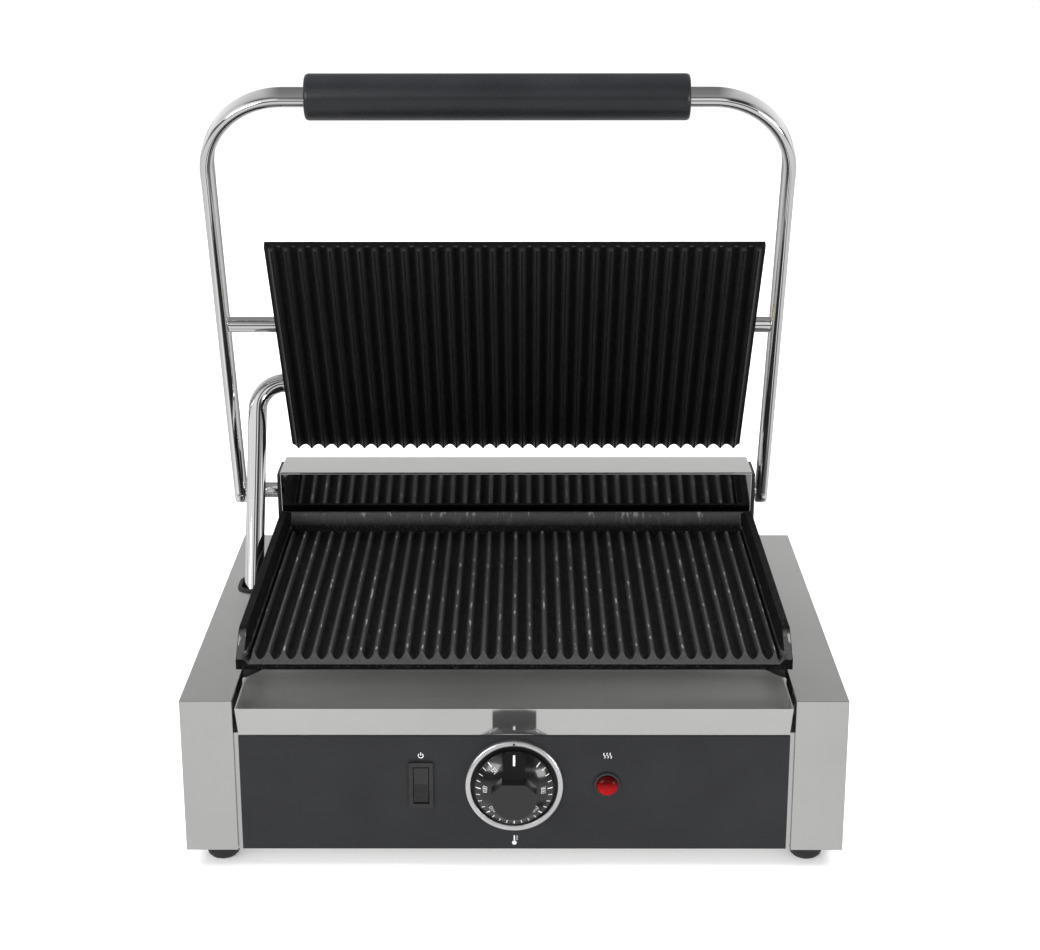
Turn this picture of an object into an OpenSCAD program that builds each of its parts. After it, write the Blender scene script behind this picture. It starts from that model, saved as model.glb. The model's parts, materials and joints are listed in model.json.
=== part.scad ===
// Contact grill (panini press): ribbed cast-iron plates, a sprung lid on a tube handle, a drip tray
// and a thermostat. Millimetres. +Z is up and the user stands at -Y.

/* [Body] */
// Width over both side boxes
body_w = 430; // [420:1:450]
// Depth of the side boxes
body_d = 325; // [320:1:335]
// Height of the side boxes above the feet
body_h = 106; // [104:1:110]
// Width of one side box
side_w = 34; // [34:0.5:38]
// Thickness of the stainless sheet
sheet_t = 1; // [0.8:0.1:1.2]
// Height of the rubber feet
foot_h = 14; // [12:1:18]
// Diameter of the rubber feet
foot_d = 22; // [20:1:24]
// Distance of the feet from the centre line
foot_x = 194; // [190:1:198]

/* [Grill plates] */
// Width of the lower plate over its rims
lower_w = 361; // [358:1:361]
// Height of the lower plate's bottom edge over the bottom of the body
lower_z = 119; // [118:1:122]
// Number of ribs on the upper plate, and of grooves in the lower plate
rib_count = 34; // [20:2:34]
// Spacing of the ribs
rib_pitch = 10; // [10:1:10]
// Depth of the grooves
rib_depth = 4; // [3:0.5:4.5]
// Length of the upper plate, rear edge to front edge
upper_len = 216; // [205:1:218]

/* [Lid and handle] */
// Lean of the open handle, forward from upright
handle_lean = 19.5; // [15:0.5:22]
// Lean of the open upper plate's face, up from level
platen_tilt = 55; // [52:1:57]
// Distance from the hinge shaft to the grip
handle_len = 335; // [320:1:340]
// Distance between the centres of the handle's two legs
handle_w = 403.5; // [403.5:0.5:406]
// Bend radius of the handle tube, at its centre line
handle_r = 55; // [45:1:60]
// Thickness of the flat-oval handle tube
leg_t = 8.7; // [8:0.1:9]
// Depth of the flat-oval handle tube
leg_d = 20; // [18:0.5:21]
// Distance from the hinge shaft to the crossbar
crossbar_reach = 152; // [150:1:154]
// Diameter of the grip
grip_d = 31.6; // [28:0.2:34]
// Length of the grip
grip_len = 261; // [240:1:262]

/* [Controls] */
// Height of the centre of the controls over the bottom of the body
control_z = 47; // [45:1:49]
// Distance of the switch and of the lamp from the dial
control_gap = 60.4; // [55:0.2:70]
// Diameter of the ring round the dial
ring_d = 63.6; // [60:0.2:66]
// Distance from the panel to the face of the knob
knob_out = 23; // [20:1:26]

/* [Supply inlet] */
// Radius of the gland's bore
gland_bore_r = 4.2; // [3.5:0.1:4.5]
// Distance that the gland stands out of the back
gland_out = 14; // [12:1:18]

/* [Hidden] */
$fn = 48;
e = 0.1;                        // overshoot of a cutter past a face
gap = 0.1;                      // gap between parts that only lie beside each other

// places in the body's own frame: X from its middle, Y from its front, Z from its bottom edge
half_w = body_w / 2;
inner_x = half_w - side_w;      // inner wall of a side box
leg_left_x = -213.5;
leg_right_x = leg_left_x + handle_w;
handle_x = (leg_left_x + leg_right_x) / 2;
base_x = (-leg_left_x + leg_t / 2 - half_w) / 2;
front_y = (knob_out - body_d - gland_out) / 2;

hinge_y = 305;                  // hinge shaft
hinge_z = 150;
shaft_r = 6;
hinge_box_y = 284;              // middle of the hinge box's front
hinge_back_y = body_d - sheet_t - gap;
hinge_box_z = 171;
hinge_box_x = 180;
bracket_x = 165;                // inner brackets that carry the shaft
bracket_t = 3;
bush_r = 9;
run = 0.05;                     // radial clearance of a running fit

panel_top = 81;                 // top of the black control panel
panel_w = 356;
panel_t = 1.5;
panel_y = 1;                    // set back of the control panel
shelf_z = 82;                   // shelf that the drip tray stands on
tray_w = 354.6;
tray_z = 83.2;
tray_lip_z = 107;
tray_back_z = 117;
tray_back_y = 27;
tray_lean = 13;                 // how far the lip leans out at its top

deck_z = 89;                    // deck under the heater box
box_wall = 1.2;                 // heater box
heater_x = 177;
heater_y0 = 30;
heater_y1 = 279;
heater_z = deck_z + 1.2;

lower_y0 = 21.5;                // lower plate, front and back
lower_y1 = 281.7;
groove_z = lower_z + 6;         // bottom of its grooves
crest_z = groove_z + rib_depth;
rim_z = lower_z + 21.3;
rim_t = 7.5;
back_rim_t = 3;
rib_y0 = 24;
rib_y1 = 270;
rib_w = rib_count * rib_pitch;

element_r = 3.5;
lower_element_z = lower_z - 4;

face_y = 281.5;                 // rear edge of the open upper plate's crests
face_z = 190.3;
upper_t = 8.5;                  // thickness of the upper plate, crest to back
cover_x = 168;                  // half width of the upper housing
cover_h = 46;                   // its top, over the crests
// crossbar, along and behind the upper plate's face
bar_y = hinge_y - crossbar_reach * sin(handle_lean);
bar_z = hinge_z + crossbar_reach * cos(handle_lean);
bar_along = -(bar_y - face_y) * cos(platen_tilt) + (bar_z - face_z) * sin(platen_tilt);
bar_behind = (bar_y - face_y) * sin(platen_tilt) + (bar_z - face_z) * cos(platen_tilt);
bar_r = 5.8;
bar_bush_r = 8.5;

// bent conduit: its swivel on the upper housing, and its slot in the left side box
conduit_x = -193.5;
conduit_r = 7;
conduit_bore_r = 6;
conduit_bend_r = 20;
swivel_along = 43;
swivel_behind = 29;
swivel_y = face_y - swivel_along * cos(platen_tilt) + swivel_behind * sin(platen_tilt);
swivel_z = face_z + swivel_along * sin(platen_tilt) + swivel_behind * cos(platen_tilt);
slot_y = 213;
conduit_lean = atan((swivel_y - slot_y) / (swivel_z - body_h));
conduit_len = 156;
conduit_bush_r = 9.5;
slot_r = 8.2;                   // round ends of the slot
slot_reach = 5.3;               // their centres, either side of its middle
slot_clamp = 1.5;               // the grommet's neck round the slot

stud_xs = [-110, 0, 110];       // bolts that hold the heating elements to their plates
lower_stud_ys = [95, 205];
upper_stud_ys = [-60, -150];

ring_w = 3.9;
skirt_r = 25.6;
knob_boss_r = 14.5;
pointer_x = 7.8;                // half width of the knob's pointer
thermostat_r = 18;
switch_w = 15.6;
switch_h = 32;
rocker_y = 7;                   // pin of the rocker
rocker_tip = 6;                 // its tilt, either way
lamp_r = 7;
lamp_ring_r = 8.5;

sensor_x = 40;                  // hole for the thermostat's capillary
sensor_y = 60;

gland_x = -150;
gland_z = 32;
gland_len = 29;
gland_thread_r = 8;

// route of the thermostat's capillary, from its body to the bulb under the lower plate
capillary_route = [
    [6, 29, 56], [8, 34, 57], [14, 42, 60], [24, 50, 65], [34, 57, 72],
    [39, 60, 82], [40, 60, 95], [40, 60, 106], [43, 61, 112], [50, 62, 115], [56, 62, 115]
];
// routes of the leads, from the terminal block to the switch and to the lamp
lead_routes = [
    [[-120, 232, 10], [-120, 200, 8], [-112, 150, 6], [-92, 95, 8], [-72, 60, 24], [-62, 38, 40],
     [-61, 24, 42]],
    [[-108, 232, 10], [-106, 200, 8], [-84, 150, 6], [-20, 95, 8], [36, 60, 20], [58, 40, 41], [61, 26, 44]],
    [[-96, 232, 10], [-94, 205, 8], [-66, 160, 6], [-30, 100, 8], [-12, 60, 24], [-8, 42, 39], [-8, 29, 42]]
];

// ---------- placing and shapes ----------

// the body's own frame, set so that the whole grill stands centred on the origin
module place() translate([base_x, front_y, foot_h]) children();

// the handle's frame: the shaft along X at its origin, the legs along +Z
module on_handle() place() translate([0, hinge_y, hinge_z]) rotate([handle_lean, 0, 0]) children();

// the upper plate's frame: crests at z = 0, its rear edge at y = 0 and its front edge at -upper_len
module on_platen() place() translate([0, face_y, face_z]) rotate([-platen_tilt, 0, 0]) children();

// the conduit's frame: its swivel's axis at y = z = 0, its long leg along -Z
module on_conduit() place() translate([0, swivel_y, swivel_z]) rotate([-conduit_lean, 0, 0]) children();

// a block from one corner to the opposite one
module block(a, b) translate(a) cube(b - a);

// a cylinder along X, from x0 to x1
module rod_x(x0, x1, r, y = 0, z = 0) translate([x0, y, z]) rotate([0, 90, 0]) cylinder(h = x1 - x0, r = r);

// a cylinder along Y, from y0 to y1
module rod_y(y0, y1, r, x = 0, z = 0) translate([x, y0, z]) rotate([-90, 0, 0]) cylinder(h = y1 - y0, r = r);

module ring_x(x0, x1, r, bore, y = 0, z = 0) difference() {
    rod_x(x0, x1, r, y, z);
    rod_x(x0 - e, x1 + e, bore, y, z);
}

module ring_y(y0, y1, r, bore, x = 0, z = 0) difference() {
    rod_y(y0, y1, r, x, z);
    rod_y(y0 - e, y1 + e, bore, x, z);
}

// an outline of (y, z) points, run along X between -half and half
module along_x(half) translate([-half, 0, 0]) rotate([90, 0, 90]) linear_extrude(2 * half) children();

// an outline of (x, z) points, run along Y from y0 to y1
module along_y(y0, y1) translate([0, y1, 0]) rotate([90, 0, 0]) linear_extrude(y1 - y0) children();

// cross-section of a row of grooves: x across, z from low (groove) to high (crest), closed at base
function groove_points(count, pitch, low, high) = [
    for (i = [0 : count - 1])
        let (x0 = (i - count / 2) * pitch)
        for (p = [[0, high], [0.13, high], [0.37, low], [0.63, low], [0.87, high]])
            [x0 + p[0] * pitch, p[1]]
];

module groove_outline(count, pitch, low, high, base) polygon(concat(
    [[-count * pitch / 2, base]],
    groove_points(count, pitch, low, high),
    [[count * pitch / 2, high], [count * pitch / 2, base]]
));

// a round wire of radius r swept along points; side is any direction never parallel to the route
function unit(v) = v / norm(v);
function heading(p, i) = unit(p[min(i + 1, len(p) - 1)] - p[max(i - 1, 0)]);
module wire(points, r, side, sides = 8) {
    rings = len(points);
    ring_points = [
        for (i = [0 : rings - 1])
            let (t = heading(points, i), u = unit(cross(t, side)), v = cross(t, u))
            for (k = [0 : sides - 1])
                points[i] + r * (cos(360 * k / sides) * u + sin(360 * k / sides) * v)
    ];
    walls = [
        for (i = [0 : rings - 2]) for (k = [0 : sides - 1])
            let (n = (k + 1) % sides)
            [i * sides + k, i * sides + n, (i + 1) * sides + n, (i + 1) * sides + k]
    ];
    first = [for (k = [sides - 1 : -1 : 0]) k];
    last = [for (k = [0 : sides - 1]) (rings - 1) * sides + k];
    polyhedron(ring_points, concat([first, last], walls));
}

// a heating element: straight runs along X joined by half-turn bends, in the plane z = 0
module element(ys, half) {
    for (y = ys) rod_x(-half, half, element_r, y);
    for (i = [0 : len(ys) - 2]) {
        turn = i % 2 == 0 ? 1 : -1;
        translate([turn * half, (ys[i] + ys[i + 1]) / 2, 0])
            rotate([0, 0, turn > 0 ? -90 : 90])
                rotate_extrude(angle = 180) translate([abs(ys[i + 1] - ys[i]) / 2, 0]) circle(element_r);
    }
}

// flat-oval cross-section of the handle tube: thickness along x, depth along y
module flat_oval(t, d) {
    square([t, d - t], center = true);
    for (s = [-1, 1]) translate([0, s * (d - t) / 2]) circle(t / 2);
}

// the bent handle, filled: two legs, two bends and the bar under the grip
module handle_path(t, d, foot) {
    reach = handle_len - handle_r;
    for (x = [leg_left_x, leg_right_x]) translate([x, 0, foot]) linear_extrude(reach - foot) flat_oval(t, d);
    for (s = [-1, 1]) translate([handle_x + s * (handle_w / 2 - handle_r), 0, reach])
        rotate([90, 0, 0]) mirror([s > 0 ? 0 : 1, 0, 0])
            rotate_extrude(angle = 90) translate([handle_r, 0]) flat_oval(t, d);
    translate([leg_left_x + handle_r, 0, handle_len]) rotate([0, 90, 0])
        linear_extrude(handle_w - 2 * handle_r) flat_oval(t, d);
}

// the bent conduit, filled, from the lower end to the swivel
module conduit_path(r, low, high_x) {
    translate([conduit_x, 0, low]) cylinder(h = -conduit_bend_r - low, r = r);
    translate([conduit_x + conduit_bend_r, 0, -conduit_bend_r]) rotate([90, 0, 0])
        rotate([0, 0, 90]) rotate_extrude(angle = 90) translate([conduit_bend_r, 0]) circle(r);
    rod_x(conduit_x + conduit_bend_r, high_x, r);
}

// ---------- body ----------

module side_box(s) place() difference() {
    block([s > 0 ? inner_x : -half_w, 0, 0], [s > 0 ? half_w : -inner_x, body_d, body_h]);
    block([s > 0 ? inner_x + sheet_t : -half_w + sheet_t, sheet_t, -e],
          [s > 0 ? half_w - sheet_t : -inner_x - sheet_t, body_d - sheet_t, body_h - sheet_t]);
    // room for the bottom cover's edge, and an opening in the inner wall for the leads
    block([s * (inner_x + 1) - 2, sheet_t, -e], [s * (inner_x + 1) + 2, body_d - sheet_t, 1.6]);
    block([s * inner_x - side_w / 3, 60, 12], [s * inner_x + side_w / 3, 290, 76]);
}

module left_side_box() color("silver") difference() {
    side_box(-1);
    place() slot_plug(slot_r + slot_clamp, body_h - 10, body_h + 10);
}

module right_side_box() color("silver") side_box(1);

module rear_panel() color("silver") place() difference() {
    block([-inner_x + gap, body_d - sheet_t, 1.6], [inner_x - gap, body_d, body_h]);
    rod_y(body_d - 5, body_d + 5, gland_thread_r + gap, gland_x, gland_z);
    for (i = [0 : 7]) block([20 + 16 * i, body_d - 5, 24], [26 + 16 * i, body_d + 5, 64]);
}

module screw_places() for (x = [-120, 120], y = [30, body_d - 30]) translate([x, y, 0]) children();

module foot_places() for (x = [-foot_x, foot_x], y = [22, body_d - 22]) translate([x, y, 0]) children();

module bottom_cover() color("silver") place() difference() {
    block([-half_w + sheet_t + gap, sheet_t + 2 + gap, 0],
          [half_w - sheet_t - gap, body_d - sheet_t - gap, 1.4]);
    foot_places() translate([0, 0, -5]) cylinder(h = 10, r = 2.8);
    screw_places() translate([0, 0, -5]) cylinder(h = 10, r = 3);
    for (x = [-90, 90]) for (i = [0 : 5]) block([x - 40, 110 + 18 * i, -5], [x + 40, 116 + 18 * i, 5]);
}

module bottom_screws() color("dimgray") place() screw_places() {
    translate([0, 0, -1.8]) cylinder(h = 1.8, r = 3.6);
    cylinder(h = 1.4, r = 3);
}

module feet() color("black") place() foot_places() rotate_extrude() polygon([
    [2.7, -gap], [foot_d / 2, -gap], [foot_d / 2, -foot_h + 5], [foot_d / 2 - 0.8, -foot_h + 2.4],
    [foot_d / 2 - 2.6, -foot_h + 0.6], [foot_d / 2 - 4, -foot_h], [4.8, -foot_h], [4.8, -foot_h + 4],
    [2.7, -foot_h + 4]
]);

module foot_screws() color("dimgray") place() foot_places() {
    translate([0, 0, -foot_h + 1.6]) cylinder(h = 2.3, r = 4.4);
    translate([0, 0, -foot_h + 3.9]) cylinder(h = foot_h + 2.4, r = 2.5);
}

module deck() color("silver") place() difference() {
    block([-inner_x + gap, 31, deck_z], [inner_x - gap, body_d - sheet_t - gap, deck_z + 1.2]);
    translate([sensor_x, sensor_y, 0]) cylinder(h = 200, r = 4);
}

// stainless front: an upright sheet with a shelf folded back under the drip tray
module front_plate() color("silver") place() difference() {
    union() {
        block([-inner_x + gap, panel_y + panel_t, 1.6], [inner_x - gap, panel_y + panel_t + 1, shelf_z + 1]);
        block([-inner_x + gap, panel_y + panel_t, shelf_z], [inner_x - gap, 30.8, shelf_z + 1]);
    }
    rod_y(-5, 20, 6, 0, control_z);
    block([-control_gap - 6.6, -5, control_z - 13.6], [-control_gap + 6.6, 20, control_z + 13.6]);
    rod_y(-5, 20, 5.1, control_gap, control_z);
}

module control_panel() color("#2b2b2e") place() difference() {
    block([-panel_w / 2, panel_y, 0.6], [panel_w / 2, panel_y + panel_t, panel_top]);
    rod_y(-5, 20, 6, 0, control_z);
    block([-control_gap - 6.6, -5, control_z - 13.6], [-control_gap + 6.6, 20, control_z + 13.6]);
    rod_y(-5, 20, 5.1, control_gap, control_z);
}

module dial_ring() color("lightgray") place()
    ring_y(panel_y - 3.6, panel_y, ring_d / 2, ring_d / 2 - ring_w, 0, control_z);

module switch_housing() color("black") place() difference() {
    union() {
        block([-control_gap - switch_w / 2, panel_y - 2, control_z - switch_h / 2],
              [-control_gap + switch_w / 2, panel_y, control_z + switch_h / 2]);
        block([-control_gap - 6.4, panel_y, control_z - 13.4], [-control_gap + 6.4, 24, control_z + 13.4]);
    }
    block([-control_gap - 5.2, panel_y - 5, control_z - 13], [-control_gap + 5.2, 14, control_z + 13]);
    rod_x(-control_gap - 6, -control_gap + 6, 1, rocker_y, control_z);
}

// rocker: a wedge-faced key on a cross pin, tipped with its top pressed in
module switch_rocker() color("#151515") place() translate([-control_gap, rocker_y, control_z])
    rotate([-rocker_tip, 0, 0]) difference() {
        along_x(4.8) polygon([
            [-9.4, -11.6], [-7.6, 0], [-9.4, 11.6], [-4.4, 11.6], [3, 4], [3, -4], [-4.4, -11.6]
        ]);
        rod_x(-8, 8, 1 + run);
    }

module rocker_pin() color("silver") place()
    rod_x(-control_gap - 5.9, -control_gap + 5.9, 1, rocker_y, control_z);

module lamp_body() color("#202022") place() difference() {
    union() {
        rod_y(panel_y - 1.6, panel_y, lamp_ring_r, control_gap, control_z);
        rod_y(panel_y, 26, 5, control_gap, control_z);
    }
    rod_y(panel_y - 5, panel_y + 1, lamp_r + gap, control_gap, control_z);
}

module lamp_lens() color("red") place() translate([control_gap, panel_y - e, control_z]) rotate([90, 0, 0])
    rotate_extrude() polygon([
        [0, 0], [lamp_r, 0], [lamp_r, 2], [lamp_r - 1.4, 4], [lamp_r - 3.6, 5.2], [0, 5.8]
    ]);

module thermostat() color("wheat") place() difference() {
    union() {
        rod_y(8, 29, thermostat_r, 0, control_z);
        block([-22, 3.6, control_z - 9], [22, 8, control_z + 9]);
    }
    rod_y(-5, 22, 3 + run, 0, control_z);
}

module thermostat_shaft() color("silver") place() rod_y(-knob_out + 7, 21, 3, 0, control_z);

// knob: a sloped skirt with the scale, a round boss and a pointer bar
module dial_knob() color("#1a1a1c") place() translate([0, 0, control_z]) difference() {
    union() {
        translate([0, -0.4, 0]) rotate([90, 0, 0]) rotate_extrude() polygon([
            [0, 0], [skirt_r, 0], [skirt_r, 3.8], [skirt_r - 0.4, 4.4], [14, 10.6], [0, 10.6]
        ]);
        rod_y(-knob_out + 1, -2, knob_boss_r);
        along_y(-knob_out + 1, -2) polygon([
            [-knob_boss_r, 0], [knob_boss_r, 0], [knob_boss_r, 4], [pointer_x, 10.5], [-pointer_x, 10.5],
            [-knob_boss_r, 4]
        ]);
        along_x(pointer_x) polygon([[-2, 4], [-13.6, 4], [-13.6, 10], [-5.7, 24.8], [-2, 24.8]]);
    }
    rod_y(-knob_out + 7, 5, 3);
}

module capillary() color("peru") place() wire(capillary_route, 0.9, [1, 0, 0.3]);

module sensor_bulb() color("peru") place() rod_x(56, 126, 2.6, 62, 115);

module terminal_block() color("ivory") place() {
    block([-130, 232, 1.5], [-86, 252, 16]);
    for (x = [-120, -108, -96]) translate([x, 242, 16]) cylinder(h = 2, r = 3);
}

module inner_leads() color("firebrick") place() for (route = lead_routes) wire(route, 1.4, [1, 0, 0.2]);

// ---------- supply inlet ----------

module cable_gland() color("#1c1c1c") place() difference() {
    union() {
        rod_y(body_d - (gland_len - gland_out), body_d, gland_thread_r, gland_x, gland_z);
        rod_y(body_d, body_d + 4, 11, gland_x, gland_z);
        rod_y(body_d + 4, body_d + gland_out, 9.4, gland_x, gland_z);
    }
    rod_y(body_d - gland_len, body_d + gland_out + e, gland_bore_r, gland_x, gland_z);
}

module gland_nut() color("#1c1c1c") place() translate([gland_x, body_d - sheet_t - 5, gland_z])
    rotate([-90, 0, 0]) difference() {
        cylinder(h = 5, r = 12, $fn = 6);
        translate([0, 0, -e]) cylinder(h = 6, r = gland_thread_r + run, $fn = 48);
    }

// ---------- drip tray ----------

module drip_tray() color("lightgray") place() difference() {
    union() {
        // floor, with the lip leaning out in front and the high back behind
        along_x(tray_w / 2) polygon([
            [-1.2, tray_z], [tray_back_y, tray_z], [tray_back_y, tray_back_z], [tray_back_y - 1, tray_back_z],
            [tray_back_y - 1, tray_z + 1], [-0.4, tray_z + 1], [-tray_lean + 0.2, tray_lip_z],
            [-tray_lean - 1, tray_lip_z]
        ]);
        for (x = [-tray_w / 2, tray_w / 2 - 1]) translate([x, 0, 0]) rotate([90, 0, 90])
            linear_extrude(1) polygon([
                [-1.2, tray_z], [tray_back_y, tray_z], [tray_back_y, tray_lip_z], [-tray_lean, tray_lip_z]
            ]);
    }
    // cut corners of the back
    for (s = [-1, 1]) translate([s * tray_w / 2, tray_back_y, tray_back_z]) rotate([0, s * 25, 0])
        translate([-16, -5, -6]) cube([32, 10, 12]);
}

// ---------- heater under the lower plate ----------

module heater_box() color("#1d1d1d") place() difference() {
    block([-heater_x, heater_y0, heater_z], [heater_x, heater_y1, lower_z]);
    block([-heater_x + box_wall, heater_y0 + box_wall, heater_z + box_wall],
          [heater_x - box_wall, heater_y1 - box_wall, lower_z + e]);
    translate([sensor_x, sensor_y, 0]) cylinder(h = 200, r = 4);
}

module heater_sheet(z0, z1) place() difference() {
    block([-heater_x + 2, heater_y0 + 2, z0], [heater_x - 2, heater_y1 - 2, z1]);
    translate([sensor_x, sensor_y, 0]) cylinder(h = 200, r = 4);
}

module lower_insulation() color("beige") heater_sheet(heater_z + box_wall, 101.8);

module lower_reflector() color("gainsboro") heater_sheet(101.8, 102.8);

module lower_element() color("dimgray") place() translate([0, 0, lower_element_z])
    element([80, 120, 180, 235], 130);

module lower_element_clamps() color("gray") place() for (x = stud_xs) difference() {
    block([x - 10, 74, lower_element_z - element_r - 1.8], [x + 10, 242, lower_element_z - element_r - 0.2]);
    for (y = lower_stud_ys) translate([x, y, 90]) cylinder(h = 30, r = 3.3);
}

module lower_plate_bolts() color("gray") place() for (x = stud_xs, y = lower_stud_ys) {
    shank_z = lower_element_z - element_r - 1.8;
    translate([x, y, shank_z - 4]) cylinder(h = 4, r = 5);
    translate([x, y, shank_z]) cylinder(h = lower_z - shank_z, r = 3);
}

// lower plate: slab, ribs ending in a front bevel, rims on three sides and a gutter behind the ribs
module lower_plate() color("#161616") place() {
    difference() {
        block([-lower_w / 2, lower_y0, lower_z], [lower_w / 2, lower_y1, groove_z]);
        block([-lower_w / 2 + rim_t, rib_y1, groove_z - 1.5],
              [lower_w / 2 - rim_t, lower_y1 - back_rim_t, groove_z + e]);
    }
    intersection() {
        along_y(rib_y0, rib_y1) groove_outline(rib_count, rib_pitch, groove_z - 0.02, crest_z, groove_z - 1);
        along_x(rib_w / 2) polygon([
            [rib_y0, groove_z - 1], [rib_y0, groove_z], [rib_y0 + 5, crest_z], [rib_y1, crest_z],
            [rib_y1, groove_z - 1]
        ]);
    }
    for (x = [-lower_w / 2, lower_w / 2 - rim_t]) translate([x, 0, 0]) rotate([90, 0, 90])
        linear_extrude(rim_t) polygon([
            [lower_y0, groove_z - 1], [lower_y0, groove_z + 1], [lower_y0 + 21, rim_z], [lower_y1, rim_z],
            [lower_y1, groove_z - 1]
        ]);
    block([-lower_w / 2 + 1, lower_y1 - back_rim_t, groove_z - 1], [lower_w / 2 - 1, lower_y1, rim_z]);
}

// an upright plug with round ends, over the conduit's slot
module slot_plug(r, z0, z1) translate([conduit_x, slot_y, z0]) {
    for (s = [-1, 1]) translate([0, s * slot_reach, 0]) cylinder(h = z1 - z0, r = r);
    block([-r, -slot_reach, 0], [r, slot_reach, z1 - z0]);
}

module conduit_grommet() color("black") place() difference() {
    union() {
        slot_plug(slot_r + slot_clamp + 1.5, body_h, body_h + 1.8);
        slot_plug(slot_r + slot_clamp, body_h - 4, body_h);
    }
    slot_plug(slot_r, body_h - 10, body_h + 10);
}

// ---------- rear hinge ----------

module hinge_box() color("lightgray") place() difference() {
    // its front leans out over the plate
    along_x(hinge_box_x) polygon([
        [hinge_box_y + 3, deck_z + 1.2], [hinge_box_y + 3, 138], [hinge_box_y - 2.3, hinge_box_z - 1],
        [hinge_box_y - 1.3, hinge_box_z], [hinge_back_y, hinge_box_z], [hinge_back_y, deck_z + 1.2]
    ]);
    along_x(hinge_box_x - sheet_t) polygon([
        [hinge_box_y + 4, deck_z], [hinge_box_y + 4, 138.2], [hinge_box_y - 1.1, hinge_box_z - 1.8],
        [hinge_box_y - 0.9, hinge_box_z - 1], [hinge_back_y - sheet_t, hinge_box_z - 1],
        [hinge_back_y - sheet_t, deck_z]
    ]);
    rod_x(-hinge_box_x - 5, hinge_box_x + 5, shaft_r + 0.6, hinge_y, hinge_z);
}

// black plates that close the ends of the hinge box
module hinge_end_plates() color("#1d1d1d") place() for (s = [-1, 1]) difference() {
    block([s * (hinge_box_x + 1.6) - 1.5, hinge_box_y + 4, body_h + 0.4],
          [s * (hinge_box_x + 1.6) + 1.5, body_d - 4, hinge_box_z - 3]);
    rod_x(s * hinge_box_x - 5, s * hinge_box_x + 5, shaft_r + 0.6, hinge_y, hinge_z);
}

module hinge_brackets() color("gray") place() for (s = [-1, 1]) difference() {
    translate([s * bracket_x, 0, 0]) {
        block([-bracket_t / 2, 289, deck_z + 1.2], [bracket_t / 2, 321, 166]);
        block([s > 0 ? -20 : bracket_t / 2, 289, deck_z + 1.2],
              [s > 0 ? -bracket_t / 2 : 20, 321, deck_z + 4.2]);
    }
    rod_x(s * bracket_x - 5, s * bracket_x + 5, bush_r, hinge_y, hinge_z);
}

module hinge_bushes() color("goldenrod") place() for (s = [-1, 1])
    ring_x(s * bracket_x - 5, s * bracket_x + 5, bush_r, shaft_r + run, hinge_y, hinge_z);

// one torsion spring: eight turns round the shaft
module torsion_spring() {
    turns = 8;
    steps = 16;
    coil_r = 10.4;
    rise = 3.4;
    coil = [for (i = [0 : turns * steps])
        [rise * i / steps, coil_r * cos(360 * i / steps), coil_r * sin(360 * i / steps)]];
    wire(coil, 1.4, [1, 0, 0], 6);
}

module torsion_springs() color("slategray") place() for (s = [-1, 1])
    translate([s > 0 ? 125 : -155, hinge_y, hinge_z]) torsion_spring();

module stop_bar() color("gray") place()
    block([-bracket_x + bracket_t / 2 + gap, 317.5, hinge_z - 8],
          [bracket_x - bracket_t / 2 - gap, 320.5, hinge_z - 3.2]);

module hinge_shaft() color("silver") place() rod_x(leg_left_x, leg_right_x, shaft_r, hinge_y, hinge_z);

// collars on the shaft, each with a lug that comes down on the stop bar when the lid is open
module shaft_collars() color("gray") place() translate([0, hinge_y, hinge_z])
    for (x = [-118, 108]) difference() {
        union() {
            rod_x(x, x + 10, 10.5);
            block([x, 0, -3], [x + 10, 16.5, 3]);
        }
        rod_x(x - e, x + 10 + e, shaft_r);
    }

// ---------- handle ----------

module handle_frame() color("silver") {
    on_handle() difference() {
        union() {
            handle_path(leg_t, leg_d, 0);
            // round lower ends
            for (x = [leg_left_x, leg_right_x]) rod_x(x - leg_t / 2, x + leg_t / 2, leg_d / 2);
        }
        handle_path(leg_t - 3, leg_d - 3, 24);
        rod_x(leg_left_x, leg_right_x, shaft_r);
        for (x = [leg_left_x, leg_right_x]) rod_x(x - leg_t, x + leg_t, bar_r, 0, crossbar_reach);
    }
}

// cap screws through the front of the legs into the shaft's ends
module leg_screws() color("silver") on_handle() for (x = [leg_left_x, leg_right_x])
    rod_y(-leg_d / 2 - 2, -leg_d / 2, 3, x);

module crossbar() color("silver") on_handle()
    rod_x(leg_left_x - leg_t / 2, leg_right_x + leg_t / 2, bar_r, 0, crossbar_reach);

module handle_grip() color("#202124") on_handle() difference() {
    translate([handle_x - grip_len / 2, 0, handle_len]) rotate([0, 90, 0]) rotate_extrude() polygon([
        [0, 0], [grip_d / 2 - 2, 0], [grip_d / 2 - 0.6, 0.6], [grip_d / 2, 2], [grip_d / 2, grip_len - 2],
        [grip_d / 2 - 0.6, grip_len - 0.6], [grip_d / 2 - 2, grip_len], [0, grip_len]
    ]);
    translate([leg_left_x + handle_r, 0, handle_len]) rotate([0, 90, 0])
        linear_extrude(handle_w - 2 * handle_r) flat_oval(leg_t, leg_d);
}

// ---------- upper plate and its housing ----------

// its grooves start at the sides, so that its ribs face the lower plate's grooves
module upper_plate() color("#161616") on_platen() along_y(-upper_len, 0)
    groove_outline(rib_count, rib_pitch, 0, rib_depth, upper_t);

module upper_element() color("dimgray") on_platen() translate([0, 0, upper_t + 0.3 + element_r])
    element([-185, -140, -82, -35], 120);

module upper_element_clamps() color("gray") on_platen() for (x = stud_xs) difference() {
    block([x - 8, -192, upper_t + 0.5 + 2 * element_r], [x + 8, -28, upper_t + 2 + 2 * element_r]);
    for (y = upper_stud_ys) translate([x, y, 0]) cylinder(h = 40, r = 3.3);
}

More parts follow.
